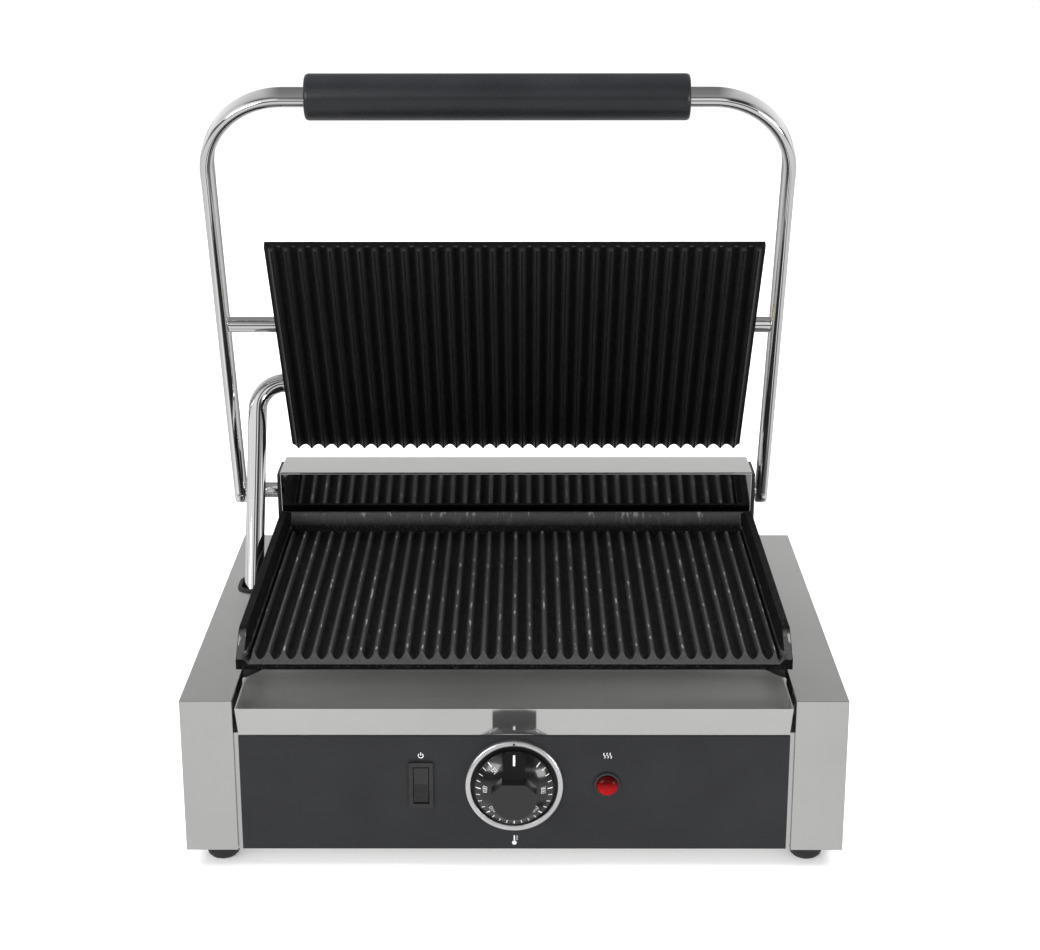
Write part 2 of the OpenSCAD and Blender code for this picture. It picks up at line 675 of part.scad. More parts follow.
module upper_plate_bolts() color("gray") on_platen()
    for (x = stud_xs, y = upper_stud_ys) translate([x, y, 0]) {
        translate([0, 0, upper_t]) cylinder(h = 2 * element_r + 2, r = 3);
        translate([0, 0, upper_t + 2 * element_r + 2]) cylinder(h = 3, r = 5);
    }

module upper_reflector() color("gainsboro") on_platen()
    block([-cover_x + 14, -190, 22], [cover_x - 14, -12, 23]);

module upper_insulation() color("beige") on_platen() difference() {
    block([-cover_x + 16, -170, 23], [cover_x - 14, -18, cover_h - sheet_t - 0.4]);
    rod_x(-cover_x, cover_x, bar_r + 2, -bar_along, bar_behind);
}

// outline of the stainless cover, in from its outer face by t
module cover_outline(t) polygon([
    [-2 - t, upper_t], [-2 - t, 34 - t / 2], [-14 - t / 2, cover_h - t], [-174, cover_h - t],
    [-206 + 1.4 * t, 14], [-206 + 1.4 * t, upper_t]
]);

module upper_housing() color("silver") on_platen() difference() {
    along_x(cover_x) cover_outline(0);
    translate([0, 0, -e]) along_x(cover_x - sheet_t) cover_outline(sheet_t);
    for (s = [-1, 1]) rod_x(s * cover_x - 5, s * cover_x + 5, bar_bush_r, -bar_along, bar_behind);
    rod_x(-cover_x - 5, -cover_x + 5, conduit_bush_r, -swivel_along, swivel_behind);
}

module housing_screws() color("gray") on_platen() for (x = [-130, 130], y = [-40, -150])
    translate([x, y, cover_h]) cylinder(h = 1.8, r = 3.5);

module crossbar_bushes() color("goldenrod") on_platen() for (s = [-1, 1])
    ring_x(s * cover_x - 5, s * cover_x + 5, bar_bush_r, bar_r + run, -bar_along, bar_behind);

// bush that the conduit turns in, with the bright collar outside the cover
module conduit_bush() color("silver") on_platen() translate([0, -swivel_along, swivel_behind]) {
    ring_x(-cover_x - 4, -cover_x, conduit_bush_r + 1.5, conduit_r + run);
    ring_x(-cover_x, -cover_x + 6, conduit_bush_r, conduit_r + run);
}

// ---------- conduit ----------

module conduit_tube() color("silver") on_conduit() difference() {
    conduit_path(conduit_r, -conduit_len, -cover_x + 8);
    conduit_path(conduit_bore_r, -conduit_len - 1, -cover_x + 9);
}

module conduit_leads() color("firebrick") on_conduit() conduit_path(3, -conduit_len + 1, -cover_x + 7);

// ---------- drawing ----------

left_side_box();
right_side_box();
rear_panel();
bottom_cover();
bottom_screws();
feet();
foot_screws();
deck();
front_plate();
control_panel();
dial_ring();
switch_housing();
switch_rocker();
rocker_pin();
lamp_body();
lamp_lens();
thermostat();
thermostat_shaft();
dial_knob();
capillary();
sensor_bulb();
terminal_block();
inner_leads();
cable_gland();
gland_nut();
drip_tray();
heater_box();
lower_insulation();
lower_reflector();
lower_element();
lower_element_clamps();
lower_plate_bolts();
lower_plate();
conduit_grommet();
hinge_box();
hinge_end_plates();
hinge_brackets();
hinge_bushes();
torsion_springs();
stop_bar();
hinge_shaft();
shaft_collars();
handle_frame();
leg_screws();
crossbar();
handle_grip();
upper_plate();
upper_element();
upper_element_clamps();
upper_plate_bolts();
upper_reflector();
upper_insulation();
upper_housing();
housing_screws();
crossbar_bushes();
conduit_bush();
conduit_tube();
conduit_leads();
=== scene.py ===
"""Contact grill: materials, detailed pieces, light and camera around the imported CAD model."""
import json
import math

import bmesh
import bpy
from mathutils import Matrix, Vector

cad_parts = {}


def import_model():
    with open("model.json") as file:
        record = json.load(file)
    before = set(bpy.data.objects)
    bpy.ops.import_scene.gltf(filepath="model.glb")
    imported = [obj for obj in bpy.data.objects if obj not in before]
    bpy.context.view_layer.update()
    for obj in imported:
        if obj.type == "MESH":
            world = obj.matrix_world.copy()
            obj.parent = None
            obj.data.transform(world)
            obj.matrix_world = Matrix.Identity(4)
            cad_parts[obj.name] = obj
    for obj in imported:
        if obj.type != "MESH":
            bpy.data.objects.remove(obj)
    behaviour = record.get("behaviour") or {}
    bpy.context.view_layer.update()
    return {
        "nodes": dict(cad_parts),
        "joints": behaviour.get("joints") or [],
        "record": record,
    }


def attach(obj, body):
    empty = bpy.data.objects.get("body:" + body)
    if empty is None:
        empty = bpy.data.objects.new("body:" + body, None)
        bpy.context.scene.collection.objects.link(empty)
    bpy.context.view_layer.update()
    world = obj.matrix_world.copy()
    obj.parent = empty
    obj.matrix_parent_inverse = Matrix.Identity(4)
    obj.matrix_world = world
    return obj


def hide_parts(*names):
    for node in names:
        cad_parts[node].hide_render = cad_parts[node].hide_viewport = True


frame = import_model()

MM = 0.001

# ---------- driving dimensions, in millimetres and degrees ----------

# Places are in the body's own frame: X from its middle, Y from its front, Z from its bottom edge.

FRONT_Y = -158                  # the body's front and bottom edge in the shared frame
FOOT_HEIGHT = 14
HINGE_Y = 305
HINGE_Z = 150
HANDLE_LEAN = 19.5
PLATEN_TILT = 55
CONDUIT_LEAN = 26.4
RIBS = 34
RIB_PITCH = 10
RIB_DEPTH = 4
CREST_HALF = 0.06               # shares of the pitch
GROOVE_HALF = 0.44
LOWER_Z = 119                   # lower plate: its bottom, its grooves and its rims
GROOVE_Z = 125
RIM_Z = 140.3
FACE_Y = 281.5                  # rear edge of the open upper plate's crests
FACE_Z = 190.3
UPPER_THICK = 8.5
UPPER_LENGTH = 216
LEG_LEFT = -213.5
LEG_RIGHT = 190
LEG_THICK = 8.7
LEG_DEPTH = 20
HANDLE_REACH = 335
HANDLE_BEND = 55
CONDUIT_X = -193.5
CONDUIT_RADIUS = 7
CONDUIT_BEND = 20
SWIVEL_Y = 280.592
SWIVEL_Z = 242.157
SLOT_Y = 213                    # slot in the side box: its middle, end centres and end radius
SLOT_REACH = 5.3
SLOT_RADIUS = 8.2
PANEL_Y = 1
CONTROL_Z = 47
CONTROL_GAP = 60.4              # from the dial to the switch and to the lamp
SCALE_START = 132               # first mark of the dial, anticlockwise from the right
SCALE_STEP = 11.5

HINGE = next(Vector(j["pos_m"]) for j in frame["joints"] if j["name"] == "handle_hinge")


# ---------- mesh helpers ----------

def piece(name, verts, faces, material, body, stands_for=(), sharp=35):
    """A closed mesh that rides on a body and stands for CAD nodes."""
    mesh = bpy.data.meshes.new(name)
    mesh.from_pydata([tuple(v) for v in verts], [], faces)
    shape = bmesh.new()
    shape.from_mesh(mesh)
    bmesh.ops.recalc_face_normals(shape, faces=shape.faces)
    shape.to_mesh(mesh)
    shape.free()
    mesh.shade_smooth()
    mesh.set_sharp_from_angle(angle=math.radians(sharp))
    obj = bpy.data.objects.new(name, mesh)
    bpy.context.scene.collection.objects.link(obj)
    mesh.materials.append(material)
    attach(obj, body)
    if stands_for:
        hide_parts(*stands_for)
    return obj


def loft(rings, closed=False):
    """Vertices and faces of a skin over equal rings of points; its ends are capped unless it is closed."""
    count = len(rings[0])
    verts = [p for ring in rings for p in ring]
    faces = []
    last = len(rings) if closed else len(rings) - 1
    for i in range(last):
        a, b = i * count, (i + 1) % len(rings) * count
        for k in range(count):
            n = (k + 1) % count
            faces.append((a + k, a + n, b + n, b + k))
    if not closed:
        faces.append(tuple(range(count)))
        faces.append(tuple(range((len(rings) - 1) * count, len(rings) * count)))
    return verts, faces


def turn_onto(axis):
    """Rotation that takes +Z to the axis."""
    return Vector((0, 0, 1)).rotation_difference(Vector(axis)).to_matrix().to_4x4()


def lathe(profile, place, steps=96):
    """Vertices and faces of (radius, height) points turned about place's Z axis."""
    rings = []
    for radius, height in profile:
        rings.append([
            place @ Vector((radius * math.cos(2 * math.pi * k / steps),
                            radius * math.sin(2 * math.pi * k / steps), height))
            for k in range(steps)
        ])
    return loft(rings)


def arc(centre, radius, start, end, steps):
    """(x, y) points along an arc, angles in degrees."""
    out = []
    for i in range(steps + 1):
        a = math.radians(start + (end - start) * i / steps)
        out.append((centre[0] + radius * math.cos(a), centre[1] + radius * math.sin(a)))
    return out


def oval(thick, depth, steps=10):
    """Flat-oval outline, thick along x and deep along y."""
    r = thick / 2
    return (arc((0, depth / 2 - r), r, 0, 180, steps) + arc((0, r - depth / 2), r, 180, 360, steps))


# ---------- materials ----------

class Finish:
    """A Principled material, with short calls for its procedural detail."""

    def __init__(self, name, colour, roughness, metallic=0.0, **sockets):
        self.mat = bpy.data.materials.new(name)
        self.mat.use_nodes = True
        self.tree = self.mat.node_tree
        self.shader = self.tree.nodes["Principled BSDF"]
        self.shader.inputs["Base Color"].default_value = (*colour, 1)
        self.shader.inputs["Roughness"].default_value = roughness
        self.shader.inputs["Metallic"].default_value = metallic
        for key, value in sockets.items():
            self.shader.inputs[key.replace("_", " ")].default_value = value

    def add(self, kind, **settings):
        node = self.tree.nodes.new(kind)
        for key, value in settings.items():
            setattr(node, key, value)
        return node

    def wire(self, a, b):
        self.tree.links.new(a, b)

    def noise(self, scale, detail=3.0, stretch=(1, 1, 1), roughness=0.55):
        place = self.add("ShaderNodeTexCoord")
        mapping = self.add("ShaderNodeMapping")
        mapping.inputs["Scale"].default_value = stretch
        self.wire(place.outputs["Object"], mapping.inputs["Vector"])
        noise = self.add("ShaderNodeTexNoise")
        noise.inputs["Scale"].default_value = scale
        noise.inputs["Detail"].default_value = detail
        noise.inputs["Roughness"].default_value = roughness
        self.wire(mapping.outputs["Vector"], noise.inputs["Vector"])
        return noise.outputs["Fac"]

    def spread(self, source, low, high, start=0.3, end=0.7):
        node = self.add("ShaderNodeMapRange", clamp=True)
        node.inputs["From Min"].default_value = start
        node.inputs["From Max"].default_value = end
        node.inputs["To Min"].default_value = low
        node.inputs["To Max"].default_value = high
        self.wire(source, node.inputs["Value"])
        return node.outputs["Result"]

    def colours(self, source, first, second, start=0.3, end=0.7):
        if start > end:
            start, end, first, second = end, start, second, first
        ramp = self.add("ShaderNodeValToRGB")
        ramp.color_ramp.elements[0].position = start
        ramp.color_ramp.elements[0].color = (*first, 1)
        ramp.color_ramp.elements[1].position = end
        ramp.color_ramp.elements[1].color = (*second, 1)
        self.wire(source, ramp.inputs["Fac"])
        self.wire(ramp.outputs["Color"], self.shader.inputs["Base Color"])
        return self

    def rough(self, source, low, high, start=0.3, end=0.7):
        self.wire(self.spread(source, low, high, start, end), self.shader.inputs["Roughness"])
        return self

    def bump(self, *layers):
        """Each layer is (height source, depth in metres)."""
        normal = None
        for source, depth in layers:
            node = self.add("ShaderNodeBump")
            node.inputs["Strength"].default_value = 1.0
            node.inputs["Distance"].default_value = depth
            self.wire(source, node.inputs["Height"])
            if normal:
                self.wire(normal, node.inputs["Normal"])
            normal = node.outputs["Normal"]
        self.wire(normal, self.shader.inputs["Normal"])
        return self


def brushed(name, colour, roughness, grain=(0.02, 0.7, 0.7), metallic=1.0, stretch=0.7, lip=None):
    """Brushed sheet: highlights drawn out across the grain, faint streaks along it, and soft smears.

    The grain leans a little off the axes, because a face square to it would have no tangent.
    In front of lip the sheet is polished.
    """
    f = Finish(name, colour, roughness, metallic, Anisotropic=stretch)
    where = f.add("ShaderNodeNewGeometry")
    across = f.add("ShaderNodeVectorMath", operation="CROSS_PRODUCT")
    f.wire(where.outputs["Normal"], across.inputs[0])
    across.inputs[1].default_value = grain
    f.wire(across.outputs["Vector"], f.shader.inputs["Tangent"])
    streaks = f.noise(260, 3, tuple(0.015 if g > 0.5 else 1 for g in grain))
    smears = f.noise(9, 4)
    f.colours(smears, tuple(c * 0.95 for c in colour), tuple(min(1, c * 1.03) for c in colour))
    low, high = roughness * 0.95, roughness * 1.06
    if lip is None:
        return f.rough(streaks, low, high).mat
    place = f.add("ShaderNodeTexCoord")
    split = f.add("ShaderNodeSeparateXYZ")
    f.wire(place.outputs["Object"], split.inputs["Vector"])
    dull = f.spread(split.outputs["Y"], 0.38, 1, lip - 1 * MM, lip + 1 * MM)
    both = f.add("ShaderNodeMath", operation="MULTIPLY")
    f.wire(dull, both.inputs[0])
    f.wire(f.spread(streaks, low, high), both.inputs[1])
    f.wire(both.outputs["Value"], f.shader.inputs["Roughness"])
    return f.mat


def polished(name, colour, roughness):
    """Polished or plated metal with a faint haze and ripple."""
    f = Finish(name, colour, roughness, metallic=1.0)
    haze = f.noise(22, 4)
    f.colours(haze, tuple(c * 0.95 for c in colour), colour)
    f.rough(haze, roughness * 0.6, roughness * 1.6)
    return f.bump((f.noise(35, 1), 0.006 * MM)).mat


def cast_iron(name, up, crest, rise, shine, highlight_line_grey, lit=None):
    """Seasoned casting: dull black in grooves and rims, pebbled all over, crests grey from wear and painted
    highlight.

    up is the direction that the ribs face and crest the height of their tops along it; the crest grey starts
    at rise below them. shine is the crests' grey, wear together with a painted highlight, and bare that of
    the broken painted highlight line along the crest tops. lit is the direction of faces with a painted
    highlight.
    """
    f = Finish(name, (0.01, 0.0095, 0.0095), 0.4)
    place = f.add("ShaderNodeTexCoord")

    def level(output, direction, low, high, start, end):
        dot = f.add("ShaderNodeVectorMath", operation="DOT_PRODUCT")
        f.wire(place.outputs[output], dot.inputs[0])
        dot.inputs[1].default_value = direction
        return f.spread(dot.outputs["Value"], low, high, start, end)

    def joined(operation, a, b):
        node = f.add("ShaderNodeMath", operation=operation)
        f.wire(a, node.inputs[0])
        f.wire(b, node.inputs[1])
        return node.outputs["Value"]

    # crest band, painted grey: partly wear, partly a painted highlight on the rib tops
    wear_and_highlight = joined("MULTIPLY", level("Object", up, 0, 1, crest - rise, crest - 0.1 * MM),
                  level("Object", up, 1, 0, crest + 0.4 * MM, crest + 1 * MM))
    # walls that face the user get neither the crest wear nor its painted highlight
    wear_and_highlight = joined("MULTIPLY", wear_and_highlight, level("Normal", (0, -1, 0), 1, 0, 0.7, 0.85))
    # faces turned towards lit get a painted highlight
    if lit:
        wear_and_highlight = joined("MAXIMUM", wear_and_highlight, level("Normal", lit, 0, 1, 0.9, 0.97))
    top = level("Object", up, 0, 1, crest - 0.4 * MM, crest - 0.05 * MM)
    # broken bright line along the crest tops: a painted highlight
    line = joined("MULTIPLY", wear_and_highlight, top)
    line = joined("MULTIPLY", line, f.spread(f.noise(260, 4, (1, 0.3, 0.3)), 0, 1, 0.44, 0.64))
    specks = f.spread(f.noise(1000, 2), 0, 0.6, 0.57, 0.7)
    grey = joined("MULTIPLY", wear_and_highlight, f.spread(f.noise(400, 3), 0.42, 0.68))
    # crest grey (wear and painted highlight), residue specks and the painted highlight line
    specks_wear_and_highlight = joined("MAXIMUM", joined("MAXIMUM", grey, specks), line)
    f.colours(specks_wear_and_highlight, (0.0022, 0.0021, 0.0021), (highlight_line_grey,) * 3, 0.05, 1.0)
    ramp = f.shader.inputs["Base Color"].links[0].from_node.color_ramp
    middle = ramp.elements.new(0.68)
    middle.color = (*(shine,) * 3, 1)
    f.rough(wear_and_highlight, 0.66, 0.36, 0.1, 1.0)
    f.wire(f.spread(wear_and_highlight, 0.1, 0.6, 0.1, 1.0), f.shader.inputs["Specular IOR Level"])
    return f.bump((f.noise(220, 2), 0.4 * MM), (f.noise(800, 3), 0.5 * MM)).mat


def moulded(name, colour, roughness, grain=0.01, coat=0.0, specular=0.5):
    """Moulded plastic with a fine skin texture."""
    f = Finish(name, colour, roughness, Coat_Weight=coat, Coat_Roughness=0.1, Specular_IOR_Level=specular)
    skin = f.noise(1500, 3)
    f.colours(f.noise(30, 3), tuple(c * 0.85 for c in colour), tuple(c * 1.15 for c in colour))
    f.rough(skin, roughness - 0.05, roughness + 0.07)
    return f.bump((skin, grain * MM)).mat


def jewel(name):
    """Red lens with painted shade at the top and a painted glow towards the bottom."""
    f = Finish(name, (0.3, 0.002, 0.004), 0.15, Specular_IOR_Level=0.15)
    place = f.add("ShaderNodeTexCoord")
    split = f.add("ShaderNodeSeparateXYZ")
    f.wire(place.outputs["Generated"], split.inputs["Vector"])
    # painted shade at the top, painted glow at the bottom
    f.colours(split.outputs["Z"], (0.04, 0.0, 0.0), (0.3, 0.001, 0.003), 0.8, 0.3)
    f.rough(f.noise(400, 2), 0.12, 0.24)
    return f.mat


STEEL = brushed("stainless_brushed", (0.66, 0.66, 0.65), 0.25)
TRAY_STEEL = brushed("stainless_tray", (0.66, 0.66, 0.65), 0.21, (1, 0.03, 0.03), 0.95, 0.4, -156 * MM)
MIRROR = polished("stainless_polished", (0.7, 0.7, 0.69), 0.06)
CHROME = polished("chrome_plate", (0.82, 0.82, 0.82), 0.04)
ZINC = polished("zinc_plated", (0.45, 0.45, 0.46), 0.35)
UP = Vector((0, 0, 1))
LOWER_CREST = (GROOVE_Z + RIB_DEPTH + FOOT_HEIGHT) * MM
# 0.04: crest grey, wear and painted highlight; 0.2: painted highlight line; front slopes: painted highlight
LOWER_IRON = cast_iron("cast_iron_lower", UP, LOWER_CREST, 2.8 * MM, 0.04, 0.2, Vector((0, -0.71, 0.71)))
DOWN = Vector((0, -math.sin(math.radians(PLATEN_TILT)), -math.cos(math.radians(PLATEN_TILT))))
TIP = Vector((0, -math.cos(math.radians(PLATEN_TILT)), math.sin(math.radians(PLATEN_TILT))))
UPPER_CREST = DOWN.dot(Vector((0, FACE_Y + FRONT_Y, FACE_Z + FOOT_HEIGHT))) * MM
# 0.017: crest grey, wear and painted highlight; 0.022: painted highlight line; front chamfer: painted
#        highlight
UPPER_IRON = cast_iron("cast_iron_upper", DOWN, UPPER_CREST, 3.8 * MM, 0.017, 0.022,
                       (DOWN + TIP).normalized())
ENAMEL = moulded("black_enamel", (0.012, 0.012, 0.012), 0.45, 0.02)
PANEL = moulded("panel_paint", (0.0135, 0.0142, 0.0165), 0.42, 0.012, specular=0.42)
PLASTIC = moulded("black_plastic", (0.016, 0.016, 0.017), 0.28, 0.006)
KNOB = moulded("knob_plastic", (0.006, 0.006, 0.0065), 0.15, 0.003, coat=0.5)
GRIP = moulded("grip_plastic", (0.0125, 0.0132, 0.0155), 0.3, 0.008, specular=0.4)
RUBBER = moulded("rubber", (0.012, 0.012, 0.012), 0.6, 0.03)
BRASS = polished("brass", (0.72, 0.5, 0.22), 0.2)
DARK_STEEL = moulded("element_sheath", (0.05, 0.047, 0.045), 0.5, 0.02)
WOOL = moulded("mineral_wool", (0.75, 0.72, 0.62), 0.9, 0.4)
CERAMIC = moulded("glazed_ceramic", (0.75, 0.7, 0.58), 0.3, 0.01)
LEAD = moulded("lead_insulation", (0.45, 0.02, 0.02), 0.4, 0.01)
LAMP = jewel("red_lens")
PRINT = moulded("printed_white", (0.7, 0.7, 0.7), 0.5)
BEZEL = polished("bezel_chrome", (0.86, 0.86, 0.87), 0.3)

BY_SLOT = {
    "stainless": STEEL, "hinge_cover": MIRROR, "chrome": CHROME, "cast_iron": LOWER_IRON,
    "black_enamel": ENAMEL, "panel": PANEL, "steel": ZINC, "element_steel": DARK_STEEL,
    "reflector": MIRROR, "insulation": WOOL, "brass": BRASS, "black_plastic": PLASTIC,
    "knob_plastic": KNOB, "grip": GRIP, "lamp_red": LAMP, "rubber": RUBBER,
    "ceramic": CERAMIC, "lead": LEAD,
}


def dress_cad_nodes():
    """Gives every CAD node the finish of its slot."""
    for part in frame["record"]["subparts"]:
        node = frame["nodes"][part["node"]]
        node.data.materials.clear()
        node.data.materials.append(BY_SLOT[part["material_slot"]])
    frame["nodes"]["drip_tray"].data.materials[0] = TRAY_STEEL


# ---------- placing ----------

def tilted(angle):
    """A turn about X, in degrees."""
    return Matrix.Rotation(math.radians(angle), 4, "X")


BODY = Matrix.Translation(HINGE - Vector((0, HINGE_Y * MM, HINGE_Z * MM))) @ Matrix.Scale(MM, 4)
HANDLE = Matrix.Translation(HINGE) @ tilted(HANDLE_LEAN) @ Matrix.Scale(MM, 4)
PLATEN = BODY @ Matrix.Translation((0, FACE_Y, FACE_Z)) @ tilted(-PLATEN_TILT)
CONDUIT = BODY @ Matrix.Translation((0, SWIVEL_Y, SWIVEL_Z)) @ tilted(-CONDUIT_LEAN)
DIAL = BODY @ Matrix.Translation((0, 0, CONTROL_Z)) @ tilted(90)


def placed(place, verts):
    return [place @ Vector(v) for v in verts]


def together(*shapes):
    """Several (verts, faces) pairs as one."""
    verts, faces = [], []
    for more_verts, more_faces in shapes:
        faces += [tuple(i + len(verts) for i in face) for face in more_faces]
        verts += more_verts
    return verts, faces


# ---------- plates ----------

def groove(x):
    """0 on the narrow flat crest at x = 0, and 1 in the round bottom of the groove beside it."""
    t = abs(x / RIB_PITCH - round(x / RIB_PITCH))
    return math.sin(math.pi / 2 * max(0, t - CREST_HALF) / GROOVE_HALF) ** 0.85


def rib_stations(offset=0):
    """X of the lengthwise lines of a ribbed plate, closer together near the crests."""
    half = RIBS * RIB_PITCH / 2
    steps = (0, 0.06, 0.09, 0.13, 0.19, 0.26, 0.34, 0.42, 0.5, 0.58, 0.66, 0.74, 0.81, 0.87, 0.91, 0.94)
    lines = [-half + (i + t + offset) * RIB_PITCH for i in range(-1, RIBS) for t in steps]
    return [-half] + [x for x in lines if -half + 1e-6 < x < half - 1e-6] + [half]


def lower_plate():
    """Ribs that run out through a sloping front edge, rims with draft on three sides, gutter behind."""
    low, floor, rim = LOWER_Z, GROOVE_Z, RIM_Z
    stations = [-180.5, -180, -175.4, -172, -171] + rib_stations() + [171, 172, 175.4, 180, 180.5]
    rings = []
    for x in stations:
        inside = abs(x) <= RIBS * RIB_PITCH / 2
        top = floor + RIB_DEPTH * (1 - groove(x)) if inside else floor
        front = 24 + (top - floor) * 1.25
        back = 270 - (top - floor) * 0.6
        ribbed = [
            (21.5, low), (21.5, 122.6), (front, top), (front + 1, top + 0.02), (36, top), (43, top),
            (60, top), (120, top), (200, top), (255, top), (back, top), (271, 123.5), (275, 123.5),
            (278.5, rim - 0.6), (279.2, rim), (281.7, rim), (281.7, low)
        ]
        edge = [
            (21.5, low), (21.5, 126), (24.8, 128.3), (30, 131.8), (36, 135.9), (42.5, rim), (60, rim),
            (120, rim), (200, rim), (255, rim), (268, rim), (271, rim), (275, rim), (278.5, rim),
            (279.2, rim), (281.7, rim), (281.7, low)
        ]
        share = min(1, max(0, (abs(x) - 172) / 3.4))
        drop = 0.5 if abs(x) > 180.2 else 0
        ring = []
        for k, (a, b) in enumerate(zip(ribbed, edge)):
            fall = 0 if k in (0, len(edge) - 1) else drop
            ring.append((x, a[0] + (b[0] - a[0]) * share, a[1] + (b[1] - a[1]) * share - fall))
        rings.append(placed(BODY, ring))
    verts, faces = loft(rings)
    piece("lower_grill_plate", verts, faces, LOWER_IRON, "base", ["lower_plate"], sharp=38)


def upper_plate():
    """Ribs the whole way between its front and rear edges, facing the lower plate's grooves."""
    rings = []
    for x in rib_stations(0.5):
        z = RIB_DEPTH * groove(x - RIB_PITCH / 2)
        rings.append(placed(PLATEN, [
            (x, -UPPER_LENGTH, UPPER_THICK), (x, -UPPER_LENGTH, z + 0.5), (x, -UPPER_LENGTH + 0.5, z),
            (x, -160, z), (x, -60, z), (x, -0.5, z), (x, 0, z + 0.5), (x, 0, UPPER_THICK)
        ]))
    verts, faces = loft(rings)
    piece("upper_grill_plate", verts, faces, UPPER_IRON, "platen", ["upper_plate"], sharp=38)


# ---------- bent tubes ----------

def sweep(place, stations, outline):
    """A skin over stations of (centre, across, scale): the outline's x runs along across, its y along Y."""
    rings = []
    for centre, across, (thick, depth) in stations:
        centre, across = Vector(centre), Vector(across)
        rings.append([
            place @ (centre + across * px * thick + Vector((0, 1, 0)) * py * depth) for px, py in outline
        ])
    return loft(rings)


def handle_frame():
    """Flat-oval tube bent into a bow, its legs ending round over the shaft."""
    reach = HANDLE_REACH - HANDLE_BEND
    stations = []

    def add(x, z, ax, az, shrink=1.0):
        stations.append(((x, 0, z), (ax, 0, az), (1, shrink)))

    foot = [(-9.6, 0.42), (-9.0, 0.5), (-7, 0.72), (-4.5, 0.89), (-2, 0.98), (0, 1)]
    for z, shrink in foot:
        add(LEG_LEFT, z, 1, 0, shrink)
    for z in (60, 152, 240):
        add(LEG_LEFT, z, 1, 0)
    for centre, start, end in ((LEG_LEFT + HANDLE_BEND, 180, 90), (LEG_RIGHT - HANDLE_BEND, 90, 0)):
        for x, z in arc((centre, reach), HANDLE_BEND, start, end, 24):
            out = Vector((x - centre, z - reach)).normalized()
            add(x, z, -out.x, -out.y)
    for z in (240, 152, 60):
        add(LEG_RIGHT, z, -1, 0)
    for z, shrink in reversed(foot):
        add(LEG_RIGHT, z, -1, 0, shrink)
    verts, faces = sweep(HANDLE, stations, oval(LEG_THICK, LEG_DEPTH))
    piece("handle_bow", verts, faces, CHROME, "handle", ["handle_frame"], sharp=50)
    heads = []
    for x in (LEG_LEFT, LEG_RIGHT):
        place = HANDLE @ Matrix.Translation((x, -LEG_DEPTH / 2, 0)) @ turn_onto((0, -1, 0))
        heads.append(lathe([(0.01, -1), (3, -1), (3, 0.6), (2.6, 1.4), (1.6, 1.9), (0.01, 2)], place, 24))
    verts, faces = together(*heads)
    piece("leg_screw_heads", verts, faces, CHROME, "handle", ["leg_screws"])


def grip():
    """Hard plastic sleeve with rolled ends."""
    half, r = 130.5, 15.77
    end = [(r - 4.4, half), (r - 2.2, half - 0.1), (r - 1, half - 0.5), (r - 0.3, half - 1.5), (r, half - 3)]
    profile = [(4.3, half - 4), (6, half)] + end
    profile += [(radius, -height) for radius, height in reversed(profile)]
    middle = (LEG_LEFT + LEG_RIGHT) / 2
    place = HANDLE @ Matrix.Translation((middle, 0, HANDLE_REACH)) @ turn_onto((1, 0, 0))
    verts, faces = lathe(profile, place)
    piece("grip_sleeve", verts, faces, GRIP, "handle", ["handle_grip"])


def conduit():
    """Round chromed tube with one bend, which carries the leads to the upper plate."""
    x, r = CONDUIT_X, CONDUIT_RADIUS
    ring = [(math.cos(2 * math.pi * k / 40), math.sin(2 * math.pi * k / 40)) for k in range(40)]
    stations = [((x, 0, z), (1, 0, 0), (r, r)) for z in (-156, -120, -70, -30)]
    for px, pz in arc((x + CONDUIT_BEND, -CONDUIT_BEND), CONDUIT_BEND, 180, 90, 20):
        out = Vector((px - x - CONDUIT_BEND, pz + CONDUIT_BEND)).normalized()
        stations.append(((px, 0, pz), (-out.x, 0, -out.y), (r, r)))
    stations.append(((-160, 0, 0), (0, 0, -1), (r, r)))
    verts, faces = sweep(CONDUIT, stations, ring)
    piece("conduit_bend", verts, faces, CHROME, "conduit", ["conduit_tube"], sharp=50)


def grommet():
    """Rubber ring with round ends, where the conduit goes into the side box."""
    section = [
        (0, 102), (0, 107.2), (0.6, 107.8), (2.2, 107.7), (2.9, 107.2), (3, 106), (1.5, 106), (1.5, 102)
    ]
    outline = []
    for sign, start in ((1, 0), (-1, 180)):
        for k in range(25):
            a = math.radians(start + 180 * k / 24)
            centre = Vector((CONDUIT_X, SLOT_Y + sign * SLOT_REACH))
            outline.append((centre, Vector((math.cos(a), math.sin(a)))))
    rings = []
    for centre, out in outline:
        ring = []
        for away, z in section:
            flat = centre + out * (SLOT_RADIUS + away)
            ring.append(BODY @ Vector((flat.x, flat.y, z)))
        rings.append(ring)
    verts, faces = loft(rings, closed=True)
    piece("conduit_seal", verts, faces, RUBBER, "base", ["conduit_grommet"])


# ---------- control panel ----------

def prism(outline, low, high, place):
    """An (x, z) outline on the panel, standing out from low to high, both measured towards the user."""
    return loft([[place @ Vector((x, z, h)) for x, z in outline] for h in (low, high)])


